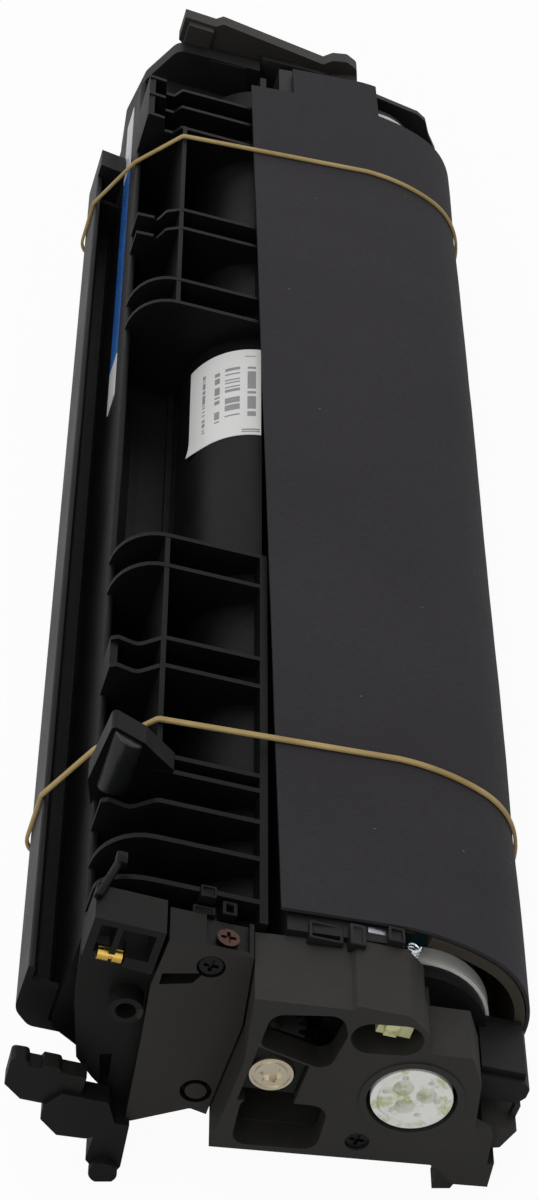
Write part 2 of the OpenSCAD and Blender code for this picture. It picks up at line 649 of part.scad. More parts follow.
charge_shaft_r = 2;
charge_len = 326;
holder_r = 3.2;
holder_reach = 6.5;
holder_len = 9;
charge_dir = [cos(charge_angle), sin(charge_angle)];

module charge_roller() color("#2b2b2e") stance() {
    rod(charge_axis, charge_r, -charge_len / 2, charge_len / 2);
    rod(charge_axis, charge_shaft_r, frame0 + 2, frame1 - 2);
}

module charge_holder(y0, y1) along(y0, y1) difference() {
    slot_shape(charge_axis, charge_axis + holder_reach * charge_dir, holder_r);
    at2(charge_axis) circle(charge_shaft_r + run);
}

module charge_holder_near() color("#d8d4c4") stance()
    charge_holder(frame0 + seat, frame0 + seat + holder_len);

module charge_holder_far() color("#d8d4c4") stance()
    charge_holder(frame1 - seat - holder_len, frame1 - seat);

// Tube along a helix about the Z axis
module helix(r, wire, pitch, turns, sides, steps) {
    n = turns * steps;
    pts = [for (i = [0:n], j = [0:sides - 1])
        let (a = 360 * i / steps, b = 360 * j / sides, q = r + wire * cos(b))
        [q * cos(a), q * sin(a), pitch * i / steps + wire * sin(b)]];
    polyhedron(points = pts, faces = concat(
        [[for (j = [sides - 1:-1:0]) j]],
        [for (i = [0:n - 1], j = [0:sides - 1]) let (k = (j + 1) % sides)
            [i * sides + j, i * sides + k, (i + 1) * sides + k, (i + 1) * sides + j]],
        [[for (j = [0:sides - 1]) n * sides + j]]));
}

spring_foot = charge_axis + (holder_reach + holder_r + 0.9) * charge_dir;

module charge_springs() color("#c4c8cc") stance()
    for (y = [frame0 + 5, frame1 - 5])
        translate([spring_foot.x, y, spring_foot.y]) rotate([0, charge_angle - 210, 0])
            helix(1.6, 0.3, 0.9, 3, 6, 10);

// Developer drive

module developer_roller() color("#55585c") stance() {
    rod(dev_axis, dev_r, -dev_len / 2, dev_len / 2);
    rod(dev_axis, dev_shaft_r, gear0 - 1, hop1);
}

module spur_gear(p, z, phase, bore) along(gear0, gear0 + gear_w) at2(p) difference() {
    polygon(gear_outline(z, gear_module, phase));
    circle(bore);
}

module developer_gear() color("#3a3a3c") stance()
    spur_gear(dev_axis, coupling_teeth, dev_phase, dev_shaft_r + run);

module coupling_gear() color("#3a3a3c") stance()
    spur_gear(metal_axis, coupling_teeth, coupling_phase, metal_shaft_r + run);

module agitator_gear() color("#3a3a3c") stance()
    spur_gear(agitator_axis, agitator_teeth, agitator_phase, agitator_shaft_r + run);

module metal_coupling() color("#c9c6bf") stance() difference() {
    union() {
        rod(metal_axis, metal_r, near + 0.6, near + 2);
        rod(metal_axis, metal_shaft_r, near + 2, hop0 + 2.6);
    }
    // Toothed socket in the face
    along(near, near + 1.4) at2(metal_axis) polygon([for (i = [0:11]) let (r = i % 2 == 0 ? 2.6 : 1.7)
        r * [cos(30 * i), sin(30 * i)]]);
    along(near, near + 0.9) difference() {
        at2(metal_axis) circle(metal_r - 0.6);
        at2(metal_axis) circle(metal_r - 1.3);
    }
}

paddle_len = 336;
paddle_t = 1.6;

module agitator() color("#dcd9cc") stance() {
    rod(agitator_axis, agitator_shaft_r, gear0 - 0.4, hop1);
    difference() {
        block(agitator_axis.x - 7, agitator_axis.x + 7, -paddle_len / 2, paddle_len / 2,
            agitator_axis.y - paddle_t / 2, agitator_axis.y + paddle_t / 2);
        for (i = [-3:3], k = [-1, 1])
            block(agitator_axis.x + k * 4.2 - 1.2, agitator_axis.x + k * 4.2 + 1.2, i * 47 - 19, i * 47 + 19,
                agitator_axis.y - 2, agitator_axis.y + 2);
    }
}

module agitator_film() color("#e8e6dd") stance()
    block(agitator_axis.x + 5.6, agitator_axis.x + agitator_reach, -paddle_len / 2, paddle_len / 2,
        agitator_axis.y + paddle_t / 2, agitator_axis.y + paddle_t / 2 + 0.3);

// Small parts of the near end

module slot_bearing() color("#b9bd8a") stance() {
    block(8.2, 15.5, near + 4, rim1, 52, 56.8);
    block(9.6, 12.4, near + 3, near + 4, 52.4, 55.8);
}

module tension_spring() color("#d5d8dc") stance()
    translate([14.2, near + 21.3, 55.4]) helix(1.5, 0.32, 0.85, 7, 6, 10);

module brass_contact() color("#c9a24a") stance() {
    translate([-50.6, left_face + 1.6, 50.7]) rotate([0, 90, 0]) {
        cylinder(r = 1.5, h = 2.4);
        cylinder(r = 1, h = 5.2);
        translate([0, 0, 3.2]) cylinder(r = 1.5, h = 2);
    }
}

module copper_screw() color("#b87a5a") stance() difference() {
    translate([copper_axis.x, copper_axis.y, 0]) {
        translate([0, 0, copper_seat]) cylinder(r = copper_head_r, h = 1.6);
        translate([0, 0, copper_seat - 0.9]) cylinder(r = screw_r, h = 1);
    }
    for (a = [0, 90])
        translate([copper_axis.x, copper_axis.y, copper_seat + 1.9]) rotate(a)
            cube([3.2, 0.8, 2], center = true);
}

module plate_screw(p, y0, y1) difference() {
    union() {
        rod(p, screw_head_r - 0.3, y0, y0 + 1.2);
        rod(p, screw_r, y0, y1);
    }
    for (a = [0, 90]) translate([p.x, y0, p.y]) rotate([0, a, 0]) cube([3.2, 1.4, 0.8], center = true);
}

module plate_screws() color("#1c1c1e") stance() {
    plate_screw(side_screw, left_face + 0.4, hop0 + 4);
    plate_screw(hole_axis, near + 0.6, frame0 - 0.4);
}

// Label and strips

label_y = [-4, 36];
label_arc = [98, 160];

module barrel_label() color("#e8e8e8") stance() along(label_y[0], label_y[1]) intersection() {
    difference() {
        at2(barrel_axis) circle(barrel_r + 0.22);
        at2(barrel_axis) circle(barrel_r + 0.02);
    }
    at2(barrel_axis) polygon([[0, 0], 40 * [cos(label_arc[0]), sin(label_arc[0])], 40 * [cos(128), sin(128)],
        40 * [cos(label_arc[1]), sin(label_arc[1])]]);
}

strip_w = [33, 40.4];

module strip(y0, y1) block(left - 0.22, left - 0.02, y0, y1, strip_w[0], strip_w[1]);

module strip_white() color("#dfe1e2") stance() {
    strip(near + 230, near + 249.9);
    strip(near + 352.1, hop1 - 2);
}

module strip_blue() color("#1f5aa6") stance() strip(near + 250, near + 352);

// Card wrap and rubber bands

wrap_left = -22.5;
wrap_edge = [-14.6, near + 24];
wrap_skew = 1.18;
wrap_end = far - 21;
wrap_rise = 2.6;
wrap_corner = corner([wrap_right, 40], [wrap_right, 25.6], [38, 23.4], 3);
wrap_path = concat([[wrap_left, crown_axis.y + crown_r - wrap_rise]], arch(90), wrap_corner,
    [[38, 23.4], [10.5, 16.9]]);

module card_wrap() color("#2f2c2e") stance() difference() {
    along(wrap_edge.y, wrap_end) polygon(concat(wrap_path, reversed(beside(wrap_path, card_t))));
    // The card lies a little askew
    translate([wrap_edge.x, wrap_edge.y, 50]) rotate(wrap_skew)
        translate([-40, -20, 0]) cube([40, body_len, 20]);
    // Its far edge is cut back on both sides
    block(-60, -9.5, far - 36.5, far, 50, 70);
    block(16.8, 60, far - 40, far, 10, 70);
}

// Circles that a band is stretched round, counterclockwise, as [u, w, radius]
band_posts = concat(
    [[38, 23.4, 0]], [for (p = reversed(wrap_corner)) [p.x, p.y, 0]],
    [for (p = reversed(arch(90))) [p.x, p.y, 0]],
    [[-spine_at, rib_top - 0.8, 0.9], [left + 0.8, rib_left_level - 0.8, 0.8],
     [tray_left + 0.6, tray_lip - 0.6, 0.6], [tray_left + 4, 18.8, 4], [-35, hopper_floor + 1.5, 1.5],
     [-32.4, hopper_floor + 1, 1]]);

// Direction in which the straight run from circle a to circle b lies off both
function run_normal(a, b) =
    let (d = [b.x - a.x, b.y - a.y]) atan2(d.y, d.x) - acos((a.z - b.z) / norm(d));

// Outline of a belt round the circles, at the height e over them
function belt_outline(c, e) =
    [for (i = [0:len(c) - 1])
        let (p = c[(i + len(c) - 1) % len(c)], q = c[i], r = c[(i + 1) % len(c)],
             a0 = run_normal(p, q), turn = (run_normal(q, r) - a0 + 720) % 360, o = [q.x, q.y])
        each q.z == 0
            ? [o + e / cos(turn / 2) * [cos(a0 + turn / 2), sin(a0 + turn / 2)]]
            : arc(o, q.z + e, a0, a0 + turn, 5)];

module band(y) along(y - band_w / 2, y + band_w / 2) difference() {
    polygon(belt_outline(band_posts, run + band_t));
    polygon(belt_outline(band_posts, run));
}

module band_near() color("#b59a5e") stance() band(-band_at);

module band_far() color("#b59a5e") stance() band(band_at);

toner_hopper();
fill_plug();
side_tray();
contact_side_cover();
drive_plate();
coupling_bracket();
far_end_cover();
handle_bar();
drum_frame();
drum_shutter();
wiper_bracket();
wiper_blade();
doctor_blade();
roller_end_seals();
drum_tube();
drum_near_flange();
drum_coupling();
drum_far_flange();
drum_axle();
charge_roller();
charge_holder_near();
charge_holder_far();
charge_springs();
developer_roller();
developer_gear();
metal_coupling();
coupling_gear();
agitator();
agitator_film();
agitator_gear();
slot_bearing();
tension_spring();
brass_contact();
copper_screw();
plate_screws();
barrel_label();
strip_white();
strip_blue();
card_wrap();
band_near();
band_far();
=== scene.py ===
import bpy
import bmesh
import math
from mathutils import Matrix, Vector, noise


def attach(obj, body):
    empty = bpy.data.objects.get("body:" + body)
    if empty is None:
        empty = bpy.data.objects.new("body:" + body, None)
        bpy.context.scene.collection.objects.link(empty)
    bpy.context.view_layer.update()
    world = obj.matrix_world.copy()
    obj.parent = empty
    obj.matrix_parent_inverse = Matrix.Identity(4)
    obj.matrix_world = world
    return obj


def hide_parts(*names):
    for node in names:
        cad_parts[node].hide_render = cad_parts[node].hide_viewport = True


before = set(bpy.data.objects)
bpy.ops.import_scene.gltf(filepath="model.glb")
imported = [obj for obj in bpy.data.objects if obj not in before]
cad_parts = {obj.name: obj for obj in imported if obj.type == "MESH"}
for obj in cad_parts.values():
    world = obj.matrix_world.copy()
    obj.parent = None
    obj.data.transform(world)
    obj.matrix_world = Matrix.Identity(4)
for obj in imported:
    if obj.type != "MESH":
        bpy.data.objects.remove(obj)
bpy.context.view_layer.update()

# Places are given as in the part's section: u across, y along, w up, in millimetres.
# STANCE takes them into the frame: turned as the part leans on its feet, moved, and in metres.
LEAN = math.radians(16.4)
MOVE_X = -1.26
MOVE_Y = 0.15
STANCE = (Matrix.Translation((MOVE_X / 1000, MOVE_Y / 1000, 0)) @ Matrix.Rotation(LEAN, 4, "Y")
          @ Matrix.Scale(0.001, 4))
# Near and far end of the cartridge's body along y
NEAR = -208.5
FAR = 208.5


def tone(code):
    """Linear colour of a hex code."""
    part = [int(code[i:i + 2], 16) / 255 for i in (1, 3, 5)]
    return tuple(v / 12.92 if v <= 0.04045 else ((v + 0.055) / 1.055) ** 2.4 for v in part) + (1.0,)


# Camera, light and floor, in metres

# Fitted to the photograph
CAMERA_AT = (-0.00126, -0.63735, 0.4907)
CAMERA_AIM = (0.0016, 0.7936, -0.6084)
SENSOR = 36
FOCAL = 90
# Strength of the white surroundings on the object, and how much of the floor the camera sees as plain white
AMBIENT = 0.26
FLOOR_WHITE = 0.95
FLOOR_SIZE = 5
FLOOR_Z = -0.00015
# Each lamp's name, place, target, size and power
LAMPS = (("overhead", (-0.25, 0.15, 1.3), (0, 0, 0.03), (1.0, 1.3), 6.4),
         ("front", (-0.25, -1.15, 0.75), (0, -0.12, 0.03), (0.9, 0.7), 3.8),
         ("side", (1.1, -0.25, 0.6), (0, 0, 0.03), (0.8, 0.8), 0.5))


def place_camera():
    aim = Vector(CAMERA_AIM).normalized()
    right = aim.cross(Vector((0, 0, 1))).normalized()
    up = right.cross(aim)
    lens = bpy.data.cameras.new("camera")
    lens.sensor_width = SENSOR
    lens.lens = FOCAL
    lens.clip_end = 20
    camera = bpy.data.objects.new("camera", lens)
    bpy.context.scene.collection.objects.link(camera)
    turned = [(right[i], up[i], -aim[i], CAMERA_AT[i]) for i in range(3)]
    camera.matrix_world = Matrix(turned + [(0, 0, 0, 1)])
    bpy.context.scene.camera = camera


def soft_lamp(name, place, target, size, power):
    lamp = bpy.data.lights.new(name, "AREA")
    lamp.shape = "RECTANGLE"
    lamp.size, lamp.size_y = size
    lamp.energy = power
    holder = bpy.data.objects.new(name, lamp)
    bpy.context.scene.collection.objects.link(holder)
    holder.location = place
    holder.rotation_euler = (Vector(target) - Vector(place)).to_track_quat("-Z", "Y").to_euler()


def seen_directly(nodes, links):
    """Two values: 1 for rays from the camera, a mirror or glass, and 1 for rays from the camera alone."""
    path = nodes.new("ShaderNodeLightPath").outputs
    seen = path["Is Camera Ray"]
    for kind in ("Is Glossy Ray", "Is Transmission Ray"):
        either = nodes.new("ShaderNodeMath")
        either.operation = "MAXIMUM"
        links.new(seen, either.inputs[0])
        links.new(path[kind], either.inputs[1])
        seen = either.outputs[0]
    return seen, path["Is Camera Ray"]


def light_studio():
    scene = bpy.context.scene
    scene.view_settings.view_transform = "Standard"
    world = bpy.data.worlds.new("studio")
    scene.world = world
    world.use_nodes = True
    nodes, links = world.node_tree.nodes, world.node_tree.links
    back = nodes["Background"]
    back.inputs["Color"].default_value = (1, 1, 1, 1)
    level = nodes.new("ShaderNodeMapRange")
    level.inputs["To Min"].default_value = AMBIENT
    level.inputs["To Max"].default_value = 1.0
    links.new(seen_directly(nodes, links)[0], level.inputs["Value"])
    links.new(level.outputs[0], back.inputs["Strength"])

    bpy.ops.object.select_all(action="DESELECT")
    bpy.ops.mesh.primitive_plane_add(size=FLOOR_SIZE, location=(0, 0, FLOOR_Z))
    floor = bpy.context.object
    floor.name = "floor"
    paper = bpy.data.materials.new("pale_floor")
    paper.use_nodes = True
    nodes, links = paper.node_tree.nodes, paper.node_tree.links
    nodes.clear()
    out = nodes.new("ShaderNodeOutputMaterial")
    matt = nodes.new("ShaderNodeBsdfDiffuse")
    matt.inputs["Color"].default_value = (0.9, 0.9, 0.9, 1)
    glow = nodes.new("ShaderNodeEmission")
    mix = nodes.new("ShaderNodeMixShader")
    share = nodes.new("ShaderNodeMath")
    share.operation = "MULTIPLY"
    share.inputs[1].default_value = FLOOR_WHITE
    links.new(seen_directly(nodes, links)[1], share.inputs[0])
    links.new(share.outputs[0], mix.inputs[0])
    links.new(matt.outputs[0], mix.inputs[1])
    links.new(glow.outputs[0], mix.inputs[2])
    links.new(mix.outputs[0], out.inputs["Surface"])
    floor.data.materials.append(paper)

    for lamp in LAMPS:
        soft_lamp(*lamp)


place_camera()
light_studio()


# Surface effects that several materials share

COLOUR = "NodeSocketColor"
VALUE = "NodeSocketFloat"
VECTOR = "NodeSocketVector"
# Heights of raised surfaces, in metres
GRAIN_HEIGHT = 0.00025
FINE_HEIGHT = 0.0001


def effect(name, inputs, outputs):
    """A node group with the given sockets, and what it takes in and gives out, by name."""
    tree = bpy.data.node_groups.new(name, "ShaderNodeTree")
    for label, kind, value in inputs:
        socket = tree.interface.new_socket(label, in_out="INPUT", socket_type=kind)
        if value is not None:
            socket.default_value = value
    for label, kind in outputs:
        tree.interface.new_socket(label, in_out="OUTPUT", socket_type=kind)
    return tree, tree.nodes.new("NodeGroupInput").outputs, tree.nodes.new("NodeGroupOutput").inputs


def set_input(tree, socket, amount):
    """A plain value on a socket, or a link where the amount is another node's output."""
    if isinstance(amount, (int, float, tuple)):
        socket.default_value = amount
    else:
        tree.links.new(amount, socket)


def add_noise(tree, where, scale, detail=2.0, rough=0.5):
    grain = tree.nodes.new("ShaderNodeTexNoise")
    grain.inputs["Detail"].default_value = detail
    grain.inputs["Roughness"].default_value = rough
    set_input(tree, grain.inputs["Scale"], scale)
    tree.links.new(where, grain.inputs["Vector"])
    return grain.outputs["Fac"]


def ramp_value(tree, value, low, high, to_low=0.0, to_high=1.0):
    spread = tree.nodes.new("ShaderNodeMapRange")
    spread.clamp = True
    for socket, amount in (("From Min", low), ("From Max", high), ("To Min", to_low), ("To Max", to_high)):
        set_input(tree, spread.inputs[socket], amount)
    tree.links.new(value, spread.inputs["Value"])
    return spread.outputs["Result"]


def calc(tree, operation, first, second=None):
    step = tree.nodes.new("ShaderNodeMath")
    step.operation = operation
    set_input(tree, step.inputs[0], first)
    if second is not None:
        set_input(tree, step.inputs[1], second)
    return step.outputs[0]


def blend_colour(tree, share, first, second):
    mix = tree.nodes.new("ShaderNodeMix")
    mix.data_type = "RGBA"
    # Of this node's sockets, 0, 6 and 7 are its share and two colours, and output 2 is its colour
    for socket, amount in ((0, share), (6, first), (7, second)):
        set_input(tree, mix.inputs[socket], amount)
    return mix.outputs[2]


def raise_surface(tree, height, strength, distance):
    bump = tree.nodes.new("ShaderNodeBump")
    for socket, amount in (("Strength", strength), ("Distance", distance), ("Height", height)):
        set_input(tree, bump.inputs[socket], amount)
    return bump.outputs["Normal"]


def make_moulded():
    """Spark-eroded moulding: fine grain, cloudy tone and toner dust on what faces up."""
    tree, given, out = effect("moulded_skin",
        [("Shade", COLOUR, None), ("Lift", COLOUR, None), ("Dust", COLOUR, None), ("Dust share", VALUE, 0.2),
         ("Grain", VALUE, 1800.0), ("Depth", VALUE, 0.25), ("Gloss low", VALUE, 0.4),
         ("Gloss high", VALUE, 0.6)],
        [("Colour", COLOUR), ("Roughness", VALUE), ("Normal", VECTOR)])
    where = tree.nodes.new("ShaderNodeTexCoord").outputs["Object"]
    cloud = add_noise(tree, where, 26.0, 4.0, 0.6)
    base = blend_colour(tree, ramp_value(tree, cloud, 0.35, 0.7), given["Shade"], given["Lift"])
    facing = tree.nodes.new("ShaderNodeSeparateXYZ")
    tree.links.new(tree.nodes.new("ShaderNodeNewGeometry").outputs["Normal"], facing.inputs[0])
    upward = ramp_value(tree, facing.outputs["Z"], 0.2, 0.95)
    settled = ramp_value(tree, add_noise(tree, where, 140.0, 5.0, 0.7), 0.48, 0.72, 0.15, 1.0)
    dust = calc(tree, "MULTIPLY", calc(tree, "MULTIPLY", upward, settled), given["Dust share"])
    tree.links.new(blend_colour(tree, dust, base, given["Dust"]), out["Colour"])
    fine = add_noise(tree, where, given["Grain"], 2.0, 0.5)
    uneven = calc(tree, "ADD", calc(tree, "MULTIPLY", cloud, 0.6), calc(tree, "MULTIPLY", fine, 0.4))
    rough = ramp_value(tree, uneven, 0.3, 0.7, given["Gloss low"], given["Gloss high"])
    tree.links.new(calc(tree, "MINIMUM", calc(tree, "ADD", rough, calc(tree, "MULTIPLY", dust, 0.4)), 0.95),
                   out["Roughness"])
    tree.links.new(raise_surface(tree, fine, given["Depth"], GRAIN_HEIGHT), out["Normal"])
    return tree


def make_scratched():
    """Metal with fine drawn lines along the length and small dark pits."""
    tree, given, out = effect("worked_metal",
        [("Shade", COLOUR, None), ("Dark", COLOUR, None), ("Across", VALUE, 1200.0), ("Along", VALUE, 40.0),
         ("Depth", VALUE, 0.2), ("Gloss low", VALUE, 0.2), ("Gloss high", VALUE, 0.4), ("Pits", VALUE, 0.3)],
        [("Colour", COLOUR), ("Roughness", VALUE), ("Normal", VECTOR)])
    where = tree.nodes.new("ShaderNodeTexCoord").outputs["Object"]
    parts = tree.nodes.new("ShaderNodeSeparateXYZ")
    tree.links.new(where, parts.inputs[0])
    drawn = tree.nodes.new("ShaderNodeCombineXYZ")
    tree.links.new(calc(tree, "MULTIPLY", parts.outputs["X"], given["Across"]), drawn.inputs["X"])
    tree.links.new(calc(tree, "MULTIPLY", parts.outputs["Y"], given["Along"]), drawn.inputs["Y"])
    tree.links.new(calc(tree, "MULTIPLY", parts.outputs["Z"], given["Across"]), drawn.inputs["Z"])
    lines = add_noise(tree, drawn.outputs[0], 1.0, 3.0, 0.6)
    pits = ramp_value(tree, add_noise(tree, where, 2600.0, 2.0, 0.5), 0.36, 0.46, 1.0, 0.0)
    dark = calc(tree, "MULTIPLY", pits, given["Pits"])
    shade = blend_colour(tree, calc(tree, "MULTIPLY", lines, 0.35), given["Shade"], given["Dark"])
    tree.links.new(blend_colour(tree, dark, shade, given["Dark"]), out["Colour"])
    tree.links.new(ramp_value(tree, lines, 0.3, 0.7, given["Gloss low"], given["Gloss high"]),
                   out["Roughness"])
    height = calc(tree, "SUBTRACT", lines, dark)
    tree.links.new(raise_surface(tree, height, given["Depth"], FINE_HEIGHT), out["Normal"])
    return tree


def make_fibrous():
    """Paper or card: matted fibres, cloudy tone and a few pale specks."""
    tree, given, out = effect("pressed_fibre",
        [("Shade", COLOUR, None), ("Lift", COLOUR, None), ("Speck", COLOUR, None), ("Specks", VALUE, 0.5),
         ("Depth", VALUE, 0.3)],
        [("Colour", COLOUR), ("Roughness", VALUE), ("Normal", VECTOR)])
    where = tree.nodes.new("ShaderNodeTexCoord").outputs["Object"]
    turned = tree.nodes.new("ShaderNodeMapping")
    turned.inputs["Scale"].default_value = (700, 2600, 700)
    tree.links.new(where, turned.inputs["Vector"])
    fibre = add_noise(tree, turned.outputs[0], 1.0, 4.0, 0.65)
    cloud = add_noise(tree, where, 14.0, 3.0, 0.5)
    shade = blend_colour(tree, ramp_value(tree, cloud, 0.3, 0.7), given["Shade"], given["Lift"])
    shade = blend_colour(tree, ramp_value(tree, fibre, 0.5, 0.75, 0.0, 0.35), shade, given["Lift"])
    cells = tree.nodes.new("ShaderNodeTexVoronoi")
    cells.inputs["Scale"].default_value = 90.0
    tree.links.new(where, cells.inputs["Vector"])
    speck = ramp_value(tree, cells.outputs["Distance"], 0.015, 0.03, 1.0, 0.0)
    speck = calc(tree, "MULTIPLY", speck, given["Specks"])
    tree.links.new(blend_colour(tree, speck, shade, given["Speck"]), out["Colour"])
    tree.links.new(ramp_value(tree, fibre, 0.3, 0.7, 0.62, 0.85), out["Roughness"])
    tree.links.new(raise_surface(tree, fibre, given["Depth"], FINE_HEIGHT), out["Normal"])
    return tree


def make_printed_row():
    """One row of plain bars on a label, as a mask: no letters."""
    tree, given, out = effect("printed_bars",
        [("Place", VECTOR, None), ("Row", VALUE, 0.5), ("Half height", VALUE, 0.05), ("Middle", VALUE, 0.5),
         ("Half length", VALUE, 0.3), ("Bars", VALUE, 40.0), ("Left out", VALUE, 0.4), ("Seed", VALUE, 1.0)],
        [("Mask", VALUE)])
    parts = tree.nodes.new("ShaderNodeSeparateXYZ")
    tree.links.new(given["Place"], parts.inputs[0])
    across = calc(tree, "ABSOLUTE", calc(tree, "SUBTRACT", parts.outputs["X"], given["Row"]))
    along = calc(tree, "ABSOLUTE", calc(tree, "SUBTRACT", parts.outputs["Y"], given["Middle"]))
    inside = calc(tree, "MULTIPLY", calc(tree, "LESS_THAN", across, given["Half height"]),
                  calc(tree, "LESS_THAN", along, given["Half length"]))
    count = calc(tree, "FLOOR", calc(tree, "MULTIPLY", parts.outputs["Y"], given["Bars"]))
    pick = tree.nodes.new("ShaderNodeTexWhiteNoise")
    pick.noise_dimensions = "1D"
    tree.links.new(calc(tree, "ADD", count, given["Seed"]), pick.inputs["W"])
    kept = calc(tree, "GREATER_THAN", pick.outputs["Value"], given["Left out"])
    tree.links.new(calc(tree, "MULTIPLY", inside, kept), out["Mask"])
    return tree


MOULDED = make_moulded()
SCRATCHED = make_scratched()
FIBROUS = make_fibrous()
PRINTED = make_printed_row()


# Materials

def new_finish(name, metal=0.0, coat=0.0, shine=0.5):
    finish = bpy.data.materials.new(name)
    finish.use_nodes = True
    shader = finish.node_tree.nodes["Principled BSDF"]
    shader.inputs["Metallic"].default_value = metal
    shader.inputs["Coat Weight"].default_value = coat
    shader.inputs["Specular IOR Level"].default_value = shine
    return finish, finish.node_tree, shader


def feed(tree, shader, group, values):
    """Joins a shared effect, with its values, to a material's shader."""
    skin = tree.nodes.new("ShaderNodeGroup")
    skin.node_tree = group
    for label, value in values.items():
        skin.inputs[label].default_value = value
    tree.links.new(skin.outputs["Colour"], shader.inputs["Base Color"])
    tree.links.new(skin.outputs["Roughness"], shader.inputs["Roughness"])
    tree.links.new(skin.outputs["Normal"], shader.inputs["Normal"])
    return skin


def moulded(name, shade, lift, dust=0.03, grain=1800.0, depth=0.25, gloss=(0.42, 0.6), shine=0.5,
            dust_tone="#6d6a66"):
    finish, tree, shader = new_finish(name, shine=shine)
    feed(tree, shader, MOULDED, {"Shade": tone(shade), "Lift": tone(lift), "Dust": tone(dust_tone),
                                 "Dust share": dust, "Grain": grain, "Depth": depth, "Gloss low": gloss[0],
                                 "Gloss high": gloss[1]})
    return finish


def metal(name, shade, dark, across=1200.0, along=40.0, depth=0.2, gloss=(0.2, 0.4), pits=0.2):
    finish, tree, shader = new_finish(name, metal=1.0)
    feed(tree, shader, SCRATCHED, {"Shade": tone(shade), "Dark": tone(dark), "Across": across, "Along": along,
                                   "Depth": depth, "Gloss low": gloss[0], "Gloss high": gloss[1],
                                   "Pits": pits})
    return finish


def fibrous(name, shade, lift, speck="#8b8880", specks=0.5, depth=0.3):
    finish, tree, shader = new_finish(name, shine=0.16)
    feed(tree, shader, FIBROUS, {"Shade": tone(shade), "Lift": tone(lift), "Speck": tone(speck),
                                 "Specks": specks, "Depth": depth})
    return finish


def greased(name, clean, grease, amount, scale):
    """White or pale plastic with smears of drive grease."""
    finish, tree, shader = new_finish(name, coat=0.15)
    skin = feed(tree, shader, MOULDED, {"Shade": tone(clean), "Lift": tone(clean), "Dust": tone(clean),
                                        "Dust share": 0.0, "Grain": 1500.0, "Depth": 0.08, "Gloss low": 0.3,
                                        "Gloss high": 0.45})
    where = tree.nodes.new("ShaderNodeTexCoord").outputs["Object"]
    smear = ramp_value(tree, add_noise(tree, where, scale, 3.0, 0.6), 0.5, 0.66, 0.0, amount)
    tree.links.new(blend_colour(tree, smear, skin.outputs["Colour"], tone(grease)),
                   shader.inputs["Base Color"])
    tree.links.new(ramp_value(tree, smear, 0.0, 1.0, 0.42, 0.18), shader.inputs["Roughness"])
    return finish


def printed_label():
    finish, tree, shader = new_finish("label_paper", coat=0.25)
    skin = feed(tree, shader, FIBROUS, {"Shade": tone("#f0f0ef"), "Lift": tone("#f6f6f5"),
                                        "Speck": tone("#e6e6e5"), "Specks": 0.2, "Depth": 0.06})
    place = tree.nodes.new("ShaderNodeUVMap")
    place.uv_map = "print"
    mask = None
    # Each row: its place down the label, half its height, its middle and half its length, and then
    # how many bars fit the label, the share of them left out, and a seed
    rows = [(0.885, 0.052, 0.50, 0.29, 34.0, 0.22, 3.0), (0.645, 0.095, 0.50, 0.30, 60.0, 0.42, 11.0),
            (0.445, 0.035, 0.52, 0.32, 46.0, 0.34, 23.0), (0.25, 0.022, 0.49, 0.34, 70.0, 0.4, 37.0),
            (0.875, 0.11, 0.055, 0.026, 120.0, 0.35, 51.0), (0.87, 0.07, 0.90, 0.022, 90.0, 0.5, 64.0)]
    for row, half, middle, length, bars, left_out, seed in rows:
        bar = tree.nodes.new("ShaderNodeGroup")
        bar.node_tree = PRINTED
        tree.links.new(place.outputs[0], bar.inputs["Place"])
        for label, value in (("Row", row), ("Half height", half), ("Middle", middle), ("Half length", length),
                             ("Bars", bars), ("Left out", left_out), ("Seed", seed)):
            bar.inputs[label].default_value = value
        mask = bar.outputs[0] if mask is None else calc(tree, "MAXIMUM", mask, bar.outputs[0])
    ink = calc(tree, "MULTIPLY", mask, 0.72)
    tree.links.new(blend_colour(tree, ink, skin.outputs["Colour"], tone("#5b5b5d")),
                   shader.inputs["Base Color"])
    return finish


def rubber():
    """Tan rubber band: chalky bloom and a lighter stretch here and there."""
    finish, tree, shader = new_finish("band_rubber")
    where = tree.nodes.new("ShaderNodeTexCoord").outputs["Object"]
    cloud = add_noise(tree, where, 60.0, 3.0, 0.6)
    fine = add_noise(tree, where, 3000.0, 2.0, 0.5)
    tree.links.new(blend_colour(tree, ramp_value(tree, cloud, 0.3, 0.7), tone("#998049"), tone("#c2aa74")),
                   shader.inputs["Base Color"])
    tree.links.new(ramp_value(tree, fine, 0.3, 0.7, 0.5, 0.72), shader.inputs["Roughness"])
    tree.links.new(raise_surface(tree, fine, 0.25, FINE_HEIGHT), shader.inputs["Normal"])
    return finish


def coated_drum():
    """Glossy coating of the photosensitive drum, a little cloudy."""
    finish, tree, shader = new_finish("drum_coating", coat=0.6)
    where = tree.nodes.new("ShaderNodeTexCoord").outputs["Object"]
    cloud = add_noise(tree, where, 18.0, 3.0, 0.5)
    tree.links.new(blend_colour(tree, cloud, tone("#2f6068"), tone("#3f7780")), shader.inputs["Base Color"])
    tree.links.new(ramp_value(tree, cloud, 0.3, 0.7, 0.12, 0.2), shader.inputs["Roughness"])
    return finish


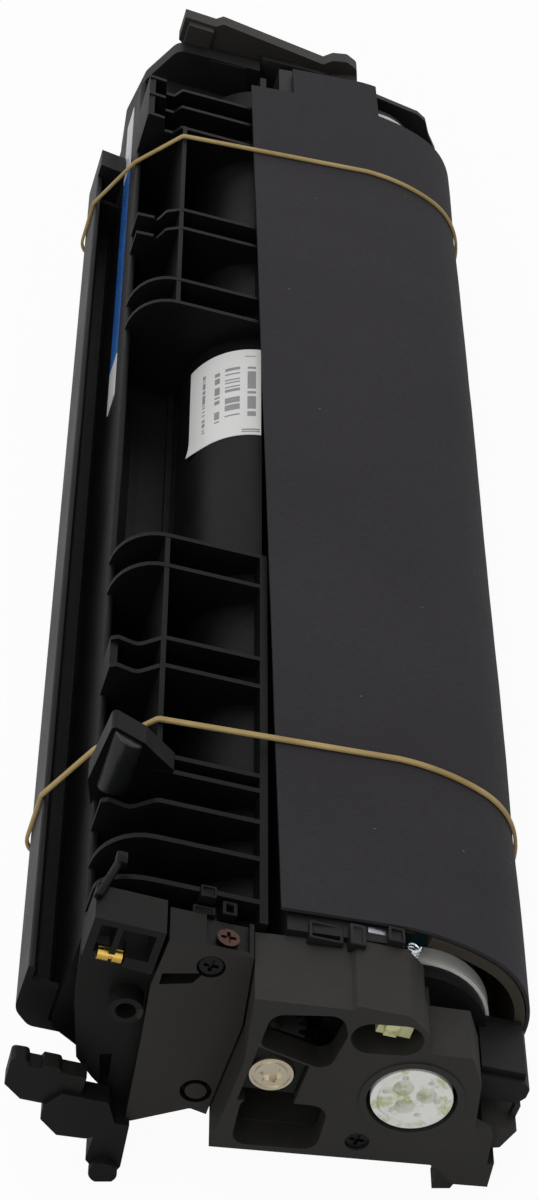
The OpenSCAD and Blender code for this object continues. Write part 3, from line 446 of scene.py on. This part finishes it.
HOPPER = moulded("hopper_plastic", "#080809", "#0d0d0e", grain=1500.0, gloss=(0.34, 0.52), shine=0.1)
# The hopper's black plastic painted lighter: a painted highlight on the rounded lug
LUG_PAINTED_HIGHLIGHT = moulded("lug_plastic_painted_highlight", "#1a1b1b", "#232424", grain=1500.0, gloss=(0.26, 0.36), shine=0.4)
TRAY = moulded("tray_plastic", "#111113", "#18181a", grain=1500.0, gloss=(0.32, 0.48), shine=0.15)
PLATE = moulded("plate_plastic", "#272624", "#2e2d2a", dust=0.05, grain=2200.0, depth=0.35,
                gloss=(0.48, 0.64), shine=0.2)
COVER = moulded("cover_plastic", "#0e0e0d", "#151514", grain=2200.0, depth=0.35,
                gloss=(0.42, 0.58), shine=0.14)
FRAME = moulded("frame_plastic", "#101012", "#171719", dust=0.04, grain=1700.0,
                gloss=(0.38, 0.56), shine=0.18)
PANEL = moulded("panel_plastic", "#282522", "#2f2c28", dust=0.05, grain=2200.0, depth=0.35,
                gloss=(0.48, 0.64), shine=0.2)
BAR = moulded("bar_plastic", "#282624", "#302e2c", dust=0.1, grain=1700.0, gloss=(0.45, 0.6), shine=0.2)
SHUTTER = moulded("shutter_plastic", "#3b362e", "#464138", dust=0.05, grain=1700.0,
                  gloss=(0.42, 0.56), shine=0.2)
GEAR = moulded("gear_plastic", "#1c1c1e", "#262628", gloss=(0.3, 0.45), shine=0.3)
WHITE = greased("white_flange", "#e4e4e0", "#c3c6a0", 0.25, 260.0)
COUPLING = greased("white_coupling", "#f3f3ef", "#b7c07a", 0.75, 330.0)
BEARING = greased("greased_bearing", "#e0deaa", "#a09f62", 0.7, 420.0)
HOLDER = greased("pale_holder", "#d8d4c4", "#b9b5a0", 0.4, 300.0)
CARD = fibrous("black_card", "#2a282b", "#323033")
LABEL = printed_label()
STRIP_WHITE = moulded("white_film", "#eceff1", "#f2f4f5", dust=0.2, grain=700.0, depth=0.1, gloss=(0.25, 0.4),
                      dust_tone="#9a9c9c")
STRIP_BLUE = moulded("blue_film", "#2260b0", "#2a6cbc", dust=0.1, grain=700.0, depth=0.1, gloss=(0.22, 0.38),
                     dust_tone="#2b4f80")
BAND = rubber()
STEEL = metal("plain_steel", "#9b9da0", "#5f6164", gloss=(0.3, 0.5))
BRIGHT = metal("bright_wire", "#d5d8dc", "#8b8f94", gloss=(0.12, 0.25), pits=0.05)
SINTERED = metal("sintered_metal", "#d2c8b4", "#8a7f6c", across=2600.0, along=2600.0, depth=0.2,
                 gloss=(0.3, 0.45), pits=0.2)
BRASS = metal("brass", "#d8b45c", "#8f6c2c", gloss=(0.2, 0.36), pits=0.15)
COPPER = metal("copper_plate", "#54403a", "#221512", gloss=(0.22, 0.4), pits=0.5)
BLACK_SCREW = metal("blackened_screw", "#2c2c2e", "#111112", gloss=(0.3, 0.5), pits=0.3)
DRUM = coated_drum()
ROLLER = metal("roller_skin", "#55585c", "#2d2f32", across=2400.0, along=2400.0, depth=0.3, gloss=(0.5, 0.7),
               pits=0.5)
CHARGE = moulded("charge_rubber", "#29292c", "#313134", dust=0.0, gloss=(0.55, 0.7))
WIPER = moulded("wiper_rubber", "#8a5e34", "#9c6d40", dust=0.0, gloss=(0.3, 0.45))
FELT = fibrous("seal_felt", "#46433f", "#57534d", specks=0.0, depth=0.8)
PADDLE = moulded("paddle_plastic", "#cfccbf", "#dcd9cc", dust=0.0, gloss=(0.35, 0.5))
FILM = moulded("paddle_film", "#d8d6cd", "#e4e2da", dust=0.0, grain=600.0, depth=0.05, gloss=(0.12, 0.25))

FINISHES = {
    HOPPER: ["toner_hopper"],
    TRAY: ["side_tray"],
    PLATE: ["drive_plate"],
    COVER: ["contact_side_cover", "fill_plug", "coupling_bracket"],
    FRAME: ["drum_frame", "far_end_cover"],
    BAR: ["handle_bar"],
    SHUTTER: ["drum_shutter"],
    GEAR: ["developer_gear", "coupling_gear", "agitator_gear"],
    WHITE: ["drum_near_flange", "drum_far_flange"],
    COUPLING: ["drum_coupling"],
    BEARING: ["slot_bearing"],
    HOLDER: ["charge_holder_near", "charge_holder_far"],
    CARD: ["card_wrap"],
    LABEL: ["barrel_label"],
    STRIP_WHITE: ["strip_white"],
    STRIP_BLUE: ["strip_blue"],
    BAND: ["band_near", "band_far"],
    STEEL: ["wiper_bracket", "doctor_blade", "drum_axle"],
    BRIGHT: ["charge_springs", "tension_spring"],
    SINTERED: ["metal_coupling"],
    BRASS: ["brass_contact"],
    COPPER: ["copper_screw"],
    BLACK_SCREW: ["plate_screws"],
    DRUM: ["drum_tube"],
    ROLLER: ["developer_roller"],
    CHARGE: ["charge_roller"],
    WIPER: ["wiper_blade"],
    FELT: ["roller_end_seals"],
    PADDLE: ["agitator"],
    FILM: ["agitator_film"],
}
for finish, names in FINISHES.items():
    for name in names:
        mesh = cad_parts[name].data
        if not mesh.materials:
            mesh.materials.append(finish)
        for index in range(len(mesh.materials)):
            mesh.materials[index] = finish


def dress_panel(node, finish, station, left_edge):
    """Gives the flat front of a node's plate, at its station along the length, a finish of its own."""
    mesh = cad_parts[node].data
    mesh.materials.append(finish)
    to_section = STANCE.inverted()
    for face in mesh.polygons:
        middle = to_section @ face.center
        if abs(middle.y - station) < 0.05 and middle.x > left_edge:
            face.material_index = len(mesh.materials) - 1


dress_panel("contact_side_cover", PANEL, NEAR + 10, -38.2)


# Helpers for pieces that are drawn here

def arc_points(middle, radius, start, end, steps):
    turn = [math.radians(start + (end - start) * i / steps) for i in range(steps + 1)]
    return [(middle[0] + radius * math.cos(a), middle[1] + radius * math.sin(a)) for a in turn]


def deselect():
    if bpy.context.object and bpy.context.object.mode != "OBJECT":
        bpy.ops.object.mode_set(mode="OBJECT")
    bpy.ops.object.select_all(action="DESELECT")


def finish_piece(piece, name, material, body, smooth=35.0):
    """Puts a piece that was drawn in the section's frame into its place, with its finish and its body."""
    piece.name = name
    piece.data.name = name
    piece.data.transform(STANCE)
    piece.data.materials.clear()
    piece.data.materials.append(material)
    deselect()
    bpy.context.view_layer.objects.active = piece
    piece.select_set(True)
    bpy.ops.object.mode_set(mode="EDIT")
    bpy.ops.mesh.select_all(action="SELECT")
    bpy.ops.mesh.normals_make_consistent(inside=False)
    bpy.ops.object.mode_set(mode="OBJECT")
    bpy.ops.object.shade_smooth_by_angle(angle=math.radians(smooth))
    deselect()
    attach(piece, body)


def apply_modifier(piece, kind, **values):
    bpy.context.view_layer.objects.active = piece
    step = piece.modifiers.new(kind.lower(), kind)
    for key, value in values.items():
        setattr(step, key, value)
    bpy.ops.object.modifier_apply(modifier=step.name)


def round_edges(piece, width, segments=2, sharper_than=40):
    apply_modifier(piece, "BEVEL", width=width, segments=segments, limit_method="ANGLE",
                   angle_limit=math.radians(sharper_than), use_clamp_overlap=True)


def grid(columns, rows):
    """A flat mesh from -1 to 1 each way, to be bent into a sheet."""
    deselect()
    bpy.ops.mesh.primitive_grid_add(x_subdivisions=columns, y_subdivisions=rows, size=2)
    return bpy.context.object


def rod(sides, radius):
    """A rod from -1 to 1 along z, to be set between its ends."""
    deselect()
    bpy.ops.mesh.primitive_cylinder_add(vertices=sides, radius=radius, depth=2)
    return bpy.context.object


# Black card, bent round the drum frame
# The form that it lies on is a path across the section: from the left edge over the flat crown, round
# the shoulder, down the right side and back under it.

SHOULDER = (25.2, 40.7)
SHOULDER_R = 20.6
CROWN_R = 55.5
CROWN_TURN = 22
CROWN = (SHOULDER[0] - (CROWN_R - SHOULDER_R) * math.sin(math.radians(CROWN_TURN)),
         SHOULDER[1] - (CROWN_R - SHOULDER_R) * math.cos(math.radians(CROWN_TURN)))
WRAP_LEFT = -22.5
WRAP_RIGHT = SHOULDER[0] + SHOULDER_R
WRAP_PATH = ([(WRAP_LEFT, CROWN[1] + CROWN_R - 2.6)] + arc_points(CROWN, CROWN_R, 90, 90 - CROWN_TURN, 12)
             + arc_points(SHOULDER, SHOULDER_R, 90 - CROWN_TURN - 4, 0, 16)
             + [(WRAP_RIGHT, 28.2), (45.2, 26.4), (43.4, 24.9), (38, 23.4), (10.5, 16.9)])
WRAP_LENGTH = sum(math.dist(a, b) for a, b in zip(WRAP_PATH, WRAP_PATH[1:]))
# Stations of the card's near edge, of the cuts at its two far corners and of its far edge
CARD_NEAR = NEAR + 24
RIGHT_CUT = FAR - 40
LEFT_CUT = FAR - 36.5
CARD_FAR = FAR - 21
# Between these places across, the card reaches its far edge
TONGUE_LEFT = -9.5
TONGUE_RIGHT = 16.8
# Left edge at the near end, and the slant at which it runs
CARD_LEFT = -14.6
CARD_SLANT = math.tan(math.radians(1.18))
CARD_T = 0.8
# Squares of the mesh each way, and its rows at the two cuts
CARD_STEPS = 150
RIGHT_ROW = 140
LEFT_ROW = 142
# Station of the bands either side of the middle, and how far from one the card is still held down
BAND_AT = 131.5
BAND_HOLD = 26
# Heights of the card's long waves and short ripples, and the share and the rows of its calmer ends
WAVE = 0.55
RIPPLE = 0.12
END_SHARE = 0.3
END_ROWS = 19


def along_path(points, distance):
    """The place and the heading at a distance along a path."""
    for first, second in zip(points, points[1:]):
        run = math.dist(first, second)
        if distance <= run or second is points[-1]:
            share = distance / run
            du, dw = second[0] - first[0], second[1] - first[1]
            return first[0] + share * du, first[1] + share * dw, (du / run, dw / run)
        distance -= run


def card_lift(u, y, w, row):
    """How far the card stands off its form: free between the bands, less near its two ends."""
    held = min(1.0, min(abs(y - BAND_AT), abs(y + BAND_AT)) / BAND_HOLD)
    wave = noise.noise(Vector((u * 0.035, y * 0.016, w * 0.035))) * 0.5 + 0.5
    ripple = noise.noise(Vector((u * 0.11 + 7, y * 0.07, w * 0.11))) * 0.5 + 0.5
    ends = min(1.0, END_SHARE + row / END_ROWS, END_SHARE + (CARD_STEPS - row) / END_ROWS)
    return held * (WAVE * wave + RIPPLE * ripple) * ends


def make_card():
    """The black card: one bent sheet, a little wavy between the bands, with its far corners cut back."""
    beyond_cut = CARD_STEPS - LEFT_ROW
    rows = [CARD_NEAR + (RIGHT_CUT - CARD_NEAR) * i / RIGHT_ROW for i in range(RIGHT_ROW + 1)]
    rows += [(RIGHT_CUT + LEFT_CUT) / 2, LEFT_CUT]
    rows += [LEFT_CUT + (CARD_FAR - LEFT_CUT) * i / beyond_cut for i in range(1, beyond_cut + 1)]
    left = [CARD_LEFT - WRAP_LEFT - CARD_SLANT * (y - CARD_NEAR) for y in rows]

    def place(row, column):
        return along_path(WRAP_PATH, left[row] + column / CARD_STEPS * (WRAP_LENGTH - left[row]))

    far_edge = [place(-1, column)[0] for column in range(CARD_STEPS + 1)]
    tongue_from = next(i for i, u in enumerate(far_edge) if u > TONGUE_LEFT)
    tongue_to = next(i for i, u in enumerate(far_edge) if u > TONGUE_RIGHT)
    sheet = grid(CARD_STEPS, CARD_STEPS)
    cut_away = set()
    for vertex in sheet.data.vertices:
        column = round((vertex.co.x + 1) * CARD_STEPS / 2)
        row = round((vertex.co.y + 1) * CARD_STEPS / 2)
        y = rows[row]
        u, w, heading = place(row, column)
        if (column < tongue_from and row > LEFT_ROW) or (column > tongue_to and row > RIGHT_ROW):
            cut_away.add(vertex.index)
        lift = card_lift(u, y, w, row)
        vertex.co = (u - heading[1] * lift, y, w + heading[0] * lift)
    bpy.ops.object.mode_set(mode="EDIT")
    bpy.ops.mesh.select_all(action="DESELECT")
    bpy.ops.object.mode_set(mode="OBJECT")
    for index in cut_away:
        sheet.data.vertices[index].select = True
    bpy.ops.object.mode_set(mode="EDIT")
    bpy.ops.mesh.delete(type="VERT")
    bpy.ops.object.mode_set(mode="OBJECT")
    apply_modifier(sheet, "SOLIDIFY", thickness=CARD_T, offset=-1.0)
    finish_piece(sheet, "card_sheet", CARD, "housing", 40)
    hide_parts("card_wrap")


# Label on the toner barrel

# Middle of the barrel across the section, and its radius
BARREL = (-14.5, 36)
BARREL_R = 19.5
# Near end of the label and its length along the barrel, and the angles that it covers round it
LABEL_NEAR = -4
LABEL_LONG = 40
LABEL_START = 160
LABEL_TURN = 62
LABEL_T = 0.14
# Gap of glue under the label, and how far its loose corner stands off
LABEL_GAP = 0.2
LABEL_CURL = 0.9


def make_label():
    """The paper label, bent round the barrel, with its lower left corner coming loose."""
    sheet = grid(36, 24)
    layers = sheet.data.uv_layers
    uv = layers[0] if layers else layers.new(name="print")
    uv.name = "print"
    places = {v.index: ((v.co.x + 1) / 2, (v.co.y + 1) / 2) for v in sheet.data.vertices}
    for loop in sheet.data.loops:
        uv.data[loop.index].uv = places[loop.vertex_index]
    for vertex in sheet.data.vertices:
        share_round, share_along = places[vertex.index]
        angle = math.radians(LABEL_START - share_round * LABEL_TURN)
        loose = max(0.0, 1 - (share_round * 3.2 + share_along * 4.5)) ** 2
        radius = BARREL_R + LABEL_GAP + LABEL_CURL * loose
        vertex.co = (BARREL[0] + radius * math.cos(angle), LABEL_NEAR + share_along * LABEL_LONG,
                     BARREL[1] + radius * math.sin(angle))
    apply_modifier(sheet, "SOLIDIFY", thickness=LABEL_T, offset=-1.0)
    finish_piece(sheet, "label_sheet", LABEL, "housing", 40)
    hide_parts("barrel_label")


# Softened copies of nodes, and small rigid pieces that only this script has

def soften(node, name, material, body, width, segments=2, shift=0.0, slim=0.0):
    """A copy of a node with rounded edges, shifted along the length or made slimmer where asked."""
    deselect()
    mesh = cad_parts[node].data.copy()
    piece = bpy.data.objects.new(name, mesh)
    bpy.context.scene.collection.objects.link(piece)
    mesh.transform(Matrix.Translation((0, shift, 0)) @ STANCE.inverted())
    bpy.context.view_layer.objects.active = piece
    piece.select_set(True)
    bpy.ops.object.mode_set(mode="EDIT")
    bpy.ops.mesh.select_all(action="SELECT")
    bpy.ops.mesh.remove_doubles(threshold=0.001)
    bpy.ops.mesh.dissolve_limited(angle_limit=math.radians(0.6))
    bpy.ops.object.mode_set(mode="OBJECT")
    if slim:
        apply_modifier(piece, "DISPLACE", strength=-slim, mid_level=0.0)
    round_edges(piece, width, segments, 38)
    finish_piece(piece, name, material, body, 40)
    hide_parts(node)


def make_block(name, span, height, material, slot, hollow=0.0, deep=1.2, bevel=0.25):
    """A small moulded block in the section's frame: rounded edges, with a sunk top where hollow."""
    deselect()
    bpy.ops.mesh.primitive_cube_add(size=1)
    piece = bpy.context.object
    u0, u1, y0, y1 = span
    w0, w1 = height
    for vertex in piece.data.vertices:
        u, y, w = vertex.co
        vertex.co = (u0 if u < 0 else u1, y0 if y < 0 else y1, w0 if w < 0 else w1)
    if hollow:
        bpy.ops.object.mode_set(mode="EDIT")
        cage = bmesh.from_edit_mesh(piece.data)
        for face in cage.faces:
            face.select_set(face.calc_center_median().z > w1 - 0.01)
        bmesh.update_edit_mesh(piece.data)
        bpy.ops.mesh.inset(thickness=hollow, depth=0)
        bpy.ops.mesh.extrude_region_move(TRANSFORM_OT_translate={"value": (0, 0, -deep)})
        bpy.ops.object.mode_set(mode="OBJECT")
    round_edges(piece, bevel)
    finish_piece(piece, name, material, "housing")


# Each block's name, span across and along, height, material, slot, and what differs from a plain one
BLOCKS = (
    ("frame_box", (-8.6, -1.2, NEAR + 17.4, NEAR + 22.6), (57.8, 61.6), FRAME, "drum_frame",
     {"hollow": 0.7, "deep": 1.6}),
    ("frame_step", (-0.2, 3.3, NEAR + 16.6, NEAR + 22.6), (59.6, 63.0), FRAME, "drum_frame",
     {"hollow": 0.8, "deep": 0.5}),
    ("frame_lug", (8.0, 11.6, NEAR + 19.4, NEAR + 23.6), (60.0, 63.6), FRAME, "drum_frame",
     {"hollow": 0.6, "deep": 0.8}),
    ("bracket_tab", (3.9, 7.8, NEAR + 21.6, NEAR + 23.2), (60.6, 62.4), STEEL, "wiper_bracket",
     {"bevel": 0.12}),
    ("near_post", (-31.6, -28.2, NEAR + 23.6, NEAR + 27.0), (50.0, 60.9), HOPPER, "toner_hopper",
     {"hollow": 0.5, "deep": 0.6}),
    ("near_ledge", (-32.8, -28.0, NEAR + 20.2, NEAR + 22.6), (52.0, 59.2), HOPPER, "toner_hopper",
     {"hollow": 0.6, "deep": 0.5}),
    ("near_loop", (-26.6, -23.4, NEAR + 21.0, NEAR + 25.0), (52.0, 59.6), HOPPER, "toner_hopper",
     {"hollow": 0.8, "deep": 2.0}),
    ("far_bridge", (-17.5, 4.4, FAR - 8.4, FAR - 5.6), (44.0, 57.0), FRAME, "far_end_cover",
     {"bevel": 0.4}),
    ("frame_ear", (1.4, 6.8, NEAR + 20.0, NEAR + 22.6), (31.2, 37.6), FRAME, "drum_frame",
     {"bevel": 0.3}),
    ("frame_ear_foot", (3.4, 8.2, NEAR + 20.1, NEAR + 22.5), (26.4, 31.4), FRAME, "drum_frame",
     {"bevel": 0.3}),
)
LEVER_TIP = (-49.2, NEAR + 27.4, 62.2)
LEVER_ROOT = (-53.4, NEAR + 15.4, 62.0)
LEVER_R = 0.95


def make_lever():
    """Slim arm with a head, slanted over the ends of the near ribs."""
    arm = rod(24, LEVER_R)
    for vertex in arm.data.vertices:
        end = LEVER_TIP if vertex.co.z > 0 else LEVER_ROOT
        vertex.co = (end[0] + vertex.co.x, end[1], end[2] + vertex.co.y)
    round_edges(arm, 0.3)
    finish_piece(arm, "side_lever", HOPPER, "housing")
    make_block("lever_head", (-50.2, -47.8, NEAR + 25.8, NEAR + 29.2), (60.9, 63.3), HOPPER, "toner_hopper",
               bevel=0.4)


# Middle of the roll across and along, its radius across and how flat it is along, its foot, and the
# lug's slope, which goes through SLOPE_AT and SLOPE_TOP
ROLL_U = -49.8
ROLL_Y = NEAR + 61.4
ROLL_R = 3.5
ROLL_FLAT = 0.75
ROLL_FOOT = 51.5
SLOPE = 0.375
SLOPE_AT = -46
SLOPE_TOP = 65.4


def make_lug_roll():
    """Rounded front of the lug that stands over the near ribs, with its top cut along the lug's slope."""
    roll = rod(40, ROLL_R)
    for vertex in roll.data.vertices:
        u = ROLL_U + vertex.co.x
        top = SLOPE_TOP + (SLOPE_AT - u) * SLOPE
        vertex.co = (u, ROLL_Y + vertex.co.y * ROLL_FLAT, top if vertex.co.z > 0 else ROLL_FOOT)
    round_edges(roll, 0.6, 3)
    # Its lighter colour is a painted highlight on the hopper's black plastic
    finish_piece(roll, "lug_roll", LUG_PAINTED_HIGHLIGHT, "housing", 40)


make_card()
make_label()
make_lug_roll()
for band in ("band_near", "band_far"):
    soften(band, band + "_rubber", BAND, "housing", 0.3, 3, slim=0.1)
for name, span, height, material, slot, differing in BLOCKS:
    make_block(name, span, height, material, slot, **differing)
soften("drum_coupling", "coupling_face", COUPLING, "drum", 0.22, 2, shift=-3.9)
make_lever()
